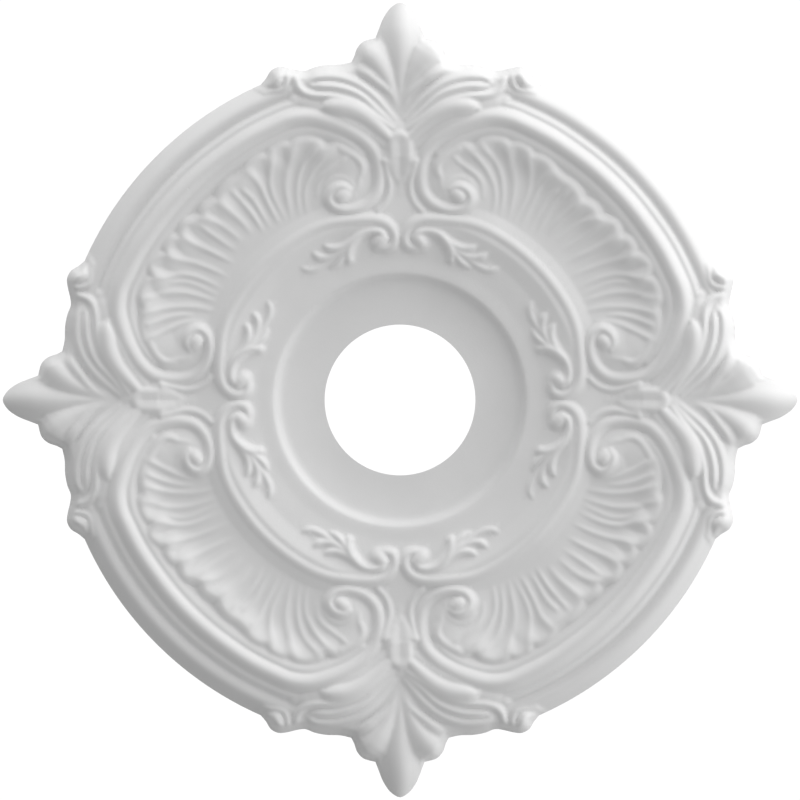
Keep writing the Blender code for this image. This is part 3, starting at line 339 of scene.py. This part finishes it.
def side_of(piece, t, points):
    """Distance of points from a piece, positive on its left, the piece's values beside them and how
    far the points lie past its ends."""
    values = along(piece, t)
    u = t[:, None]
    way = ((3 * piece[0] * u + 2 * piece[1]) * u + piece[2])[:, :2]
    gap = points - values[:, :2]
    left = way[:, 0] * gap[:, 1] > way[:, 1] * gap[:, 0]
    past = np.abs((way * gap).sum(axis=1)) / np.hypot(way[:, 0], way[:, 1])
    return np.where(left, 1, -1) * np.hypot(gap[:, 0], gap[:, 1]), values[:, 2:], past


def close_by(piece, points, reach):
    """Which points lie in the box round a piece, widened by the reach, as places in the list of points."""
    line = along(piece, np.linspace(0, 1, BOX_POINTS))[:, :2]
    near = np.all((points > line.min(axis=0) - reach) & (points < line.max(axis=0) + reach), axis=1)
    return np.flatnonzero(near)


def nearest(points, rows):
    """Signed distance from points to a curve, positive on its left."""
    best = np.full(len(points), np.inf)
    for piece in pieces(rows):
        apart = side_of(piece, foot(piece, points), points)[0]
        best = np.where(np.abs(apart) < np.abs(best), apart, best)
    return best


def smooth_max(a, b, blend=BLEND):
    near = np.clip(1 - np.abs(a - b) / blend, 0, None)
    return np.maximum(a, b) + near * near * blend / 4


def smooth_min(a, b, blend):
    return -smooth_max(-a, -b, blend)


def strand(points, rows, fall_left, fall_right, flanks):
    """Height of a strand with a rounded section, straight at its flanks where flanks is true."""
    height = np.full(len(points), FAR_BELOW)
    found = pieces(rows)
    for i, piece in enumerate(found):
        near = close_by(piece, points, REACH_WIDTHS * max(piece[3][3], sum(piece)[3]) + REACH_MORE)
        t = foot(piece, points[near])
        apart, values, past = side_of(piece, t, points[near])
        at_joint = ((t <= 0) & (i > 0)) | ((t >= 1) & (i < len(found) - 1))
        crest, width = values[:, 0] - JOINT_FALL * past * at_joint, values[:, 1]
        off = np.abs(apart) / width
        drop = np.where((off > 1) & flanks, 2 * off - 1, off * off)
        fall = np.where(apart > 0, fall_left, fall_right)
        height[near] = np.maximum(height[near], crest - drop * fall * width)
    return height


def rib_rise(points, rows):
    """Rise of one rib, rounded across, at each point."""
    rise = np.zeros(len(points))
    for piece in pieces(rows):
        near = close_by(piece, points, RIB_REACH * max(piece[3][3], sum(piece)[3]))
        apart, values, _ = side_of(piece, foot(piece, points[near]), points[near])
        rise[near] = np.maximum(rise[near], values[:, 0] * np.exp(-(apart / values[:, 1]) ** 2))
    return rise


def shell_height(points):
    """The dished shell in its quarter: a scalloped rim with hollows and curving ribs inside it."""
    beside = np.minimum(points[:, 0], points[:, 1])
    inward = -nearest(points, SHELL_RIM)
    within = np.clip(inward, 0, None)
    dish = np.interp(beside, *np.array(DISH_DEPTHS).T) * (1 - np.exp(-(within / DISH_WIDTH) ** DISH_POWER))
    over = np.clip(inward, None, 0)
    short = np.clip(SHELL_END - beside, 0, None)
    beyond = OUTER_FALL * over ** 2 + END_FALL * short ** 2
    rise = np.zeros(len(points))
    for rows in UPRIGHT_RIBS:
        rise = np.maximum(rise, rib_rise(points, rows))
    for rows in LEVEL_RIBS:
        rise = np.maximum(rise, rib_rise(points[:, ::-1], rows))
    rise = RIB_RISE * rise * (1 - RIM_FADE * np.exp(-(within / RIM_FADE_WIDTH) ** 2))
    return np.interp(beside, *np.array(RIM_HEIGHTS).T) - dish - beyond + rise - RIB_SINK


def edge_distance(points):
    """Distance from points to the outline."""
    radius = np.hypot(points[:, 0], points[:, 1])
    beside_wing = points[:, 0] / radius < WING_END / RIM_RADIUS
    apart = np.where(beside_wing, np.inf, np.abs(RIM_RADIUS - radius))
    for rows in (PETAL_EDGE, LOBE_EDGE, WING_EDGE):
        apart = np.minimum(apart, np.abs(nearest(points, rows)))
    return apart


def ring_height(radius):
    """Height of the turned rings, as a smooth curve through their rows."""
    at, heights = np.array(RINGS, float).T
    slopes = np.gradient(heights, at)
    i = np.clip(np.searchsorted(at, radius) - 1, 0, len(at) - 2)
    step = at[i + 1] - at[i]
    t = (radius - at[i]) / step
    start, end = slopes[i] * step, slopes[i + 1] * step
    rise = heights[i + 1] - heights[i]
    return heights[i] + t * (start + t * (3 * rise - 2 * start - end + t * (start + end - 2 * rise)))


def face_height(quarter):
    """Relief height at points of the quarter between the vertical and the horizontal axis."""
    points = np.sort(quarter, axis=1)
    radius = np.hypot(points[:, 0], points[:, 1])
    height = ring_height(radius)
    shell = np.flatnonzero((radius > SHELL_INNER) & (radius < SHELL_OUTER) & (points[:, 0] > SHELL_SIDE))
    height[shell] = smooth_max(height[shell], shell_height(quarter[shell]))
    for rows, fall_left, fall_right in SWELLS.values():
        height = smooth_max(height, strand(points, rows, fall_left, fall_right, False), SWELL_BLEND)
    for rows, fall_left, fall_right in BEADS.values():
        height = smooth_max(height, strand(points, rows, fall_left, fall_right, True))
    return smooth_min(height, EDGE_HEIGHT + EDGE_SLOPE * edge_distance(points), EDGE_ROUND)


def soft_height(points):
    """Relief height all round, averaged over a small circle, as a cast and its paint soften it."""
    turns = np.arange(6) * math.pi / 3
    steps = np.vstack([(0, 0), SOFT * np.column_stack([np.cos(turns), np.sin(turns)])])
    return sum(face_height(np.abs(points + step)) for step in steps) / len(steps)


# Mesh spacing, in millimetres: the finest lattice, its coarser levels and how much bend asks for a finer one
SPACING = 1.12
LEVELS = 3
BEND = 0.06
EDGE_STEP = 1.5
HOLE_STEP = 1.8
CLEARANCE = 0.5

# Points compared at once, the kind of triangulation that stays inside the outline, the gap within which
# points count as one, and the decimals of the joined points
GROUP = 500
INSIDE_ONLY = 1
ONE_POINT = 1e-6
DECIMALS = 4


def spaced(start, end, step):
    """Points on a straight line, about a step apart, with both ends."""
    count = max(1, round(math.dist(start, end) / step))
    return [tuple(Vector(start).lerp(Vector(end), i / count)) for i in range(count + 1)]


def arc(radius, start, end, step):
    """Points on a circle about a step apart; angles in radians from the vertical axis."""
    count = max(1, round(radius * abs(end - start) / step))
    turns = [start + (end - start) * i / count for i in range(count + 1)]
    return [(radius * math.sin(turn), radius * math.cos(turn)) for turn in turns]


def traced(rows, step):
    """Points along a smooth curve, about a step apart."""
    points = []
    for piece in pieces(rows):
        length = math.dist(piece[3][:2], sum(piece)[:2])
        count = max(1, round(length / step))
        points += [tuple(point[:2]) for point in along(piece, np.arange(count) / count)]
    return points + [tuple(rows[-1][:2])]


def wedge_loop():
    """The closed outline of the wedge, counterclockwise: in from the petal's tip, round and back to it."""
    corner = RIM_RADIUS / math.sqrt(2)
    hole_corner = HOLE_RADIUS / math.sqrt(2)
    outer = traced(PETAL_EDGE, EDGE_STEP)
    outer += traced(LOBE_EDGE, EDGE_STEP)[1:] + traced(WING_EDGE, EDGE_STEP)[1:]
    outer += arc(RIM_RADIUS, math.asin(WING_END / RIM_RADIUS), math.pi / 4, EDGE_STEP)[1:-1]
    axis = spaced((0, PETAL_EDGE[0][1]), (0, HOLE_RADIUS), EDGE_STEP)
    hole = arc(HOLE_RADIUS, 0, math.pi / 4, HOLE_STEP)[1:-1]
    diagonal = [(x, x) for x, _ in spaced((hole_corner, hole_corner), (corner, corner), EDGE_STEP)]
    return axis[1:] + hole + diagonal + outer[::-1]


def inside(points, loop):
    """Which points lie inside a closed loop."""
    odd = np.zeros(len(points), bool)
    ends = np.array(loop)
    for (x0, y0), (x1, y1) in zip(ends, np.roll(ends, -1, axis=0)):
        if y0 == y1:
            continue
        crosses = (y0 > points[:, 1]) != (y1 > points[:, 1])
        odd ^= crosses & (points[:, 0] < x0 + (points[:, 1] - y0) * (x1 - x0) / (y1 - y0))
    return odd


def bend(points, step):
    """How far the relief leaves a straight line over a step, in the wedge or in its mirror image."""
    most = np.zeros(len(points))
    for side in (points, points[:, ::-1]):
        middle = face_height(side)
        for turn in (0, math.pi / 3, 2 * math.pi / 3):
            way = step * np.array([math.cos(turn), math.sin(turn)])
            ends = face_height(np.abs(side + way)) + face_height(np.abs(side - way))
            most = np.maximum(most, np.abs(ends - 2 * middle))
    return most


def lattice(step, keep_all):
    """Points of a triangular lattice over the wedge; without keep_all, those the next coarser one lacks."""
    reach = int(PETAL_EDGE[0][1] / step) + 2
    i, j = np.meshgrid(np.arange(-reach, reach), np.arange(0, 2 * reach))
    fresh = keep_all | (i % 2 + j % 2 > 0)
    i, j = i[fresh], j[fresh]
    return np.column_stack([i + j / 2, j * math.sqrt(3) / 2]) * step


def clear(points, others, distance):
    """The points that keep a distance from all the others."""
    kept = []
    for part in np.array_split(points, max(1, len(points) // GROUP)):
        gaps = np.hypot(*(part[:, None] - others[None]).transpose(2, 0, 1))
        kept.append(part[gaps.min(axis=1) > distance])
    return np.vstack(kept)


def face_points(loop):
    """Points inside the wedge: a coarse lattice, and finer ones where the relief bends."""
    found = []
    for level in range(LEVELS, -1, -1):
        step = SPACING * 2 ** level
        points = lattice(step, level == LEVELS)
        points = points[inside(points, loop)]
        points = clear(points, np.array(loop), CLEARANCE * SPACING)
        if level < LEVELS:
            points = points[bend(points, step) > BEND]
        found.append(points)
    return np.vstack(found)


def wedge_mesh():
    """Points of the wedge, still flat, and the triangles between them."""
    loop = wedge_loop()
    points = [Vector(point) for point in loop] + [Vector(point) for point in face_points(loop)]
    result = delaunay_2d_cdt(points, [], [list(range(len(loop)))], INSIDE_ONLY, ONE_POINT)
    return np.array([tuple(point) for point in result[0]]), np.array(result[2])


def all_round(flat, triangles):
    """The wedge and its seven mirror images, raised to their heights and joined where they meet."""
    copies, faces = [], []
    for swapped in (False, True):
        quarter = flat[:, ::-1] if swapped else flat
        raised = np.column_stack([quarter, soft_height(quarter)])
        for right in (1, -1):
            for up in (1, -1):
                turned = swapped != (right * up < 0)
                faces.append((triangles[:, ::-1] if turned else triangles) + len(flat) * len(copies))
                copies.append(raised * (right, up, 1))
    every = np.round(np.vstack(copies), DECIMALS) + 0.0
    joined, places = np.unique(every, axis=0, return_inverse=True)
    return joined, places.reshape(-1)[np.vstack(faces)]


def rose_mesh():
    """The closed piece: relief below, straight edges round it and the hole, and a flat back at z = 0."""
    points, triangles = all_round(*wedge_mesh())
    points[:, 2] = -(BASE + points[:, 2])
    mesh = bpy.data.meshes.new("rose")
    mesh.from_pydata((points * MILLIMETRE).tolist(), [], triangles[:, ::-1].tolist())
    solid = bmesh.new()
    solid.from_mesh(mesh)
    rim = [edge for edge in solid.edges if edge.is_boundary]
    walls = bmesh.ops.extrude_edge_only(solid, edges=rim)["geom"]
    for vert in (item for item in walls if isinstance(item, bmesh.types.BMVert)):
        vert.co.z = 0.0
    back = [item for item in walls if isinstance(item, bmesh.types.BMEdge) and item.is_boundary]
    filled = bmesh.ops.triangle_fill(solid, edges=back, use_beauty=True)["geom"]
    for face in (item for item in filled if isinstance(item, bmesh.types.BMFace)):
        face.material_index = 1
    bmesh.ops.triangulate(solid, faces=[face for face in solid.faces if len(face.verts) > 3])
    bmesh.ops.recalc_face_normals(solid, faces=solid.faces)
    solid.to_mesh(mesh)
    solid.free()
    mesh.shade_smooth()
    mesh.set_sharp_from_angle(angle=math.radians(SHARP_ANGLE))
    return mesh


# Finish: the whites and their cloudiness, and the skin's grain and depth on the face and on the back
WHITE = (0.80, 0.80, 0.80, 1.0)
WHITE_SHADE = (0.775, 0.775, 0.775, 1.0)
BACK_WHITE = (0.74, 0.735, 0.72, 1.0)
BACK_SHADE = (0.68, 0.675, 0.66, 1.0)
ROUGHNESS = 0.6
SHARP_ANGLE = 40.0
CLOUD_SCALE = 28.0
CLOUD_DETAIL = 3.0
CLOUD_RANGE = (0.35, 0.65)
SKIN_DETAIL = 2.0
SKIN_STRENGTH = 0.3
FACE_GRAIN = 900.0
FACE_DEPTH = 0.12 * MILLIMETRE
BACK_GRAIN = 260.0
BACK_DEPTH = 0.6 * MILLIMETRE


def link(tree, source, output, target, name):
    tree.links.new(source.outputs[output], target.inputs[name])


def noise(tree, scale, detail):
    """Noise measured in the object's own metres."""
    place = tree.nodes.new("ShaderNodeTexCoord")
    texture = tree.nodes.new("ShaderNodeTexNoise")
    texture.inputs["Scale"].default_value = scale
    texture.inputs["Detail"].default_value = detail
    link(tree, place, "Object", texture, "Vector")
    return texture


def moulded_white(name, light, dark, grain, depth):
    """Primed moulding: a faint cloudiness in the white and a fine skin that softens the light."""
    material = bpy.data.materials.new(name)
    material.use_nodes = True
    tree = material.node_tree
    shader = tree.nodes["Principled BSDF"]
    shader.inputs["Roughness"].default_value = ROUGHNESS
    shader.inputs["Metallic"].default_value = 0.0
    cloud = noise(tree, CLOUD_SCALE, CLOUD_DETAIL)
    colours = tree.nodes.new("ShaderNodeValToRGB")
    for stop, place, colour in zip(colours.color_ramp.elements, CLOUD_RANGE, (dark, light)):
        stop.position = place
        stop.color = colour
    link(tree, cloud, "Fac", colours, "Fac")
    link(tree, colours, "Color", shader, "Base Color")
    skin = noise(tree, grain, SKIN_DETAIL)
    bump = tree.nodes.new("ShaderNodeBump")
    bump.inputs["Strength"].default_value = SKIN_STRENGTH
    bump.inputs["Distance"].default_value = depth
    link(tree, skin, "Fac", bump, "Height")
    link(tree, bump, "Normal", shader, "Normal")
    return material


# Studio, in metres and degrees: the photograph's pixels and the size of one, the floor and the lights
PIXELS = 800
PIXEL = 0.5773 * MILLIMETRE
CAMERA_DROP = 1.5
FLOOR_DROP = 2.4
FLOOR_SIZE = 60.0
FLOOR_WHITE = (0.8, 0.8, 0.8, 1.0)
LIGHT_WHITE = (1.0, 1.0, 1.0, 1.0)
KEY_TURN = 46.0
KEY_RISE = 32.0
KEY_POWER = 1.05
KEY_SPREAD = 100.0
FILL = 0.33
GLOW = 2.45
BACKDROP = 1.15
AWAY_BACKDROP = 0.05
HORIZON = 0.12
SEEN = 1.05
OVERHEAD_POWER = 0.6
OVERHEAD_SPREAD = 40.0
TO_OVERHEAD = (0.35, -0.45, 1.0)


def make_camera():
    """Straight up at the rose, as the photograph looks at it: +Y is up in the picture and -X is right."""
    lens = bpy.data.cameras.new("camera")
    lens.type = "ORTHO"
    lens.ortho_scale = PIXELS * PIXEL
    camera = bpy.data.objects.new("camera", lens)
    camera.location = (0, 0, -CAMERA_DROP)
    camera.rotation_euler = (0, math.pi, 0)
    bpy.context.scene.collection.objects.link(camera)
    bpy.context.scene.camera = camera


def sun(name, towards, power, spread):
    """A soft distant light; towards is the direction from the rose to the light."""
    light = bpy.data.lights.new(name, "SUN")
    light.energy = power
    light.angle = math.radians(spread)
    lamp = bpy.data.objects.new(name, light)
    lamp.rotation_euler = Vector(towards).to_track_quat("Z", "Y").to_euler()
    bpy.context.scene.collection.objects.link(lamp)


def make_lights():
    turn, rise = math.radians(KEY_TURN), math.radians(KEY_RISE)
    right, up = math.cos(turn) * math.cos(rise), math.sin(turn) * math.cos(rise)
    sun("key", (-right, up, -math.sin(rise)), KEY_POWER, KEY_SPREAD)
    sun("overhead", TO_OVERHEAD, OVERHEAD_POWER, OVERHEAD_SPREAD)
    bpy.context.scene.world = white_surroundings()
    bpy.context.scene.view_settings.view_transform = "Standard"


def maths(tree, operation, first, second):
    """The sum or product of two values, each a number or a node's output."""
    node = tree.nodes.new("ShaderNodeMath")
    node.operation = operation
    for place, value in enumerate((first, second)):
        if isinstance(value, float):
            node.inputs[place].default_value = value
        else:
            tree.links.new(value, node.inputs[place])
    return node.outputs[0]


def ranged(tree, value, low, high, start, end):
    """The value's place between low and high, as a number between start and end."""
    node = tree.nodes.new("ShaderNodeMapRange")
    for name, number in (("From Min", low), ("From Max", high), ("To Min", start), ("To Max", end)):
        node.inputs[name].default_value = number
    tree.links.new(value, node.inputs["Value"])
    return node.outputs["Result"]


def white_surroundings():
    """A white studio: dim where the camera is, brighter low down and behind the rose on the key's side."""
    world = bpy.data.worlds.new("world")
    world.use_nodes = True
    tree = world.node_tree
    seen = tree.nodes["Background"]
    seen.inputs["Color"].default_value = LIGHT_WHITE
    seen.inputs["Strength"].default_value = SEEN
    way = tree.nodes.new("ShaderNodeTexCoord")
    parts = tree.nodes.new("ShaderNodeSeparateXYZ")
    link(tree, way, "Generated", parts, "Vector")
    turn = math.radians(KEY_TURN)
    towards = maths(tree, "ADD", maths(tree, "MULTIPLY", parts.outputs["X"], -math.cos(turn)),
                    maths(tree, "MULTIPLY", parts.outputs["Y"], math.sin(turn)))
    low = ranged(tree, parts.outputs["Z"], -1.0, 0.0, 0.0, 1.0)
    side = ranged(tree, towards, -1.0, 1.0, 0.0, GLOW)
    glow = maths(tree, "MULTIPLY", maths(tree, "MULTIPLY", low, low), side)
    front = ranged(tree, parts.outputs["Z"], 0.0, HORIZON, 1.0, 0.0)
    beyond = ranged(tree, parts.outputs["Z"], 0.0, HORIZON, 0.0, 1.0)
    behind = maths(tree, "MULTIPLY", beyond, ranged(tree, towards, -1.0, 1.0, AWAY_BACKDROP, BACKDROP))
    lit = tree.nodes.new("ShaderNodeBackground")
    lit.inputs["Color"].default_value = LIGHT_WHITE
    strength = maths(tree, "ADD", maths(tree, "MULTIPLY", maths(tree, "ADD", glow, FILL), front), behind)
    tree.links.new(strength, lit.inputs["Strength"])
    path = tree.nodes.new("ShaderNodeLightPath")
    mix = tree.nodes.new("ShaderNodeMixShader")
    link(tree, path, "Is Camera Ray", mix, "Fac")
    tree.links.new(lit.outputs[0], mix.inputs[1])
    tree.links.new(seen.outputs[0], mix.inputs[2])
    tree.links.new(mix.outputs[0], tree.nodes["World Output"].inputs["Surface"])
    return world


def make_floor():
    mesh = bpy.data.meshes.new("floor")
    half = FLOOR_SIZE / 2
    corners = [(-half, -half, 0), (half, -half, 0), (half, half, 0), (-half, half, 0)]
    mesh.from_pydata(corners, [], [(0, 1, 2, 3)])
    floor = bpy.data.objects.new("floor", mesh)
    floor.location = (0, 0, -FLOOR_DROP)
    floor.visible_shadow = False
    floor.visible_diffuse = False
    bpy.context.scene.collection.objects.link(floor)
    material = bpy.data.materials.new("floor")
    material.use_nodes = True
    material.node_tree.nodes["Principled BSDF"].inputs["Base Color"].default_value = FLOOR_WHITE
    mesh.materials.append(material)


def make_rose():
    mesh = rose_mesh()
    mesh.materials.append(moulded_white("moulded_face", WHITE, WHITE_SHADE, FACE_GRAIN, FACE_DEPTH))
    mesh.materials.append(moulded_white("cast_back", BACK_WHITE, BACK_SHADE, BACK_GRAIN, BACK_DEPTH))
    rose = bpy.data.objects.new("rose", mesh)
    bpy.context.scene.collection.objects.link(rose)
    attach(rose, "root")
    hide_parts("ceiling_rose")


make_rose()
make_camera()
make_lights()
make_floor()
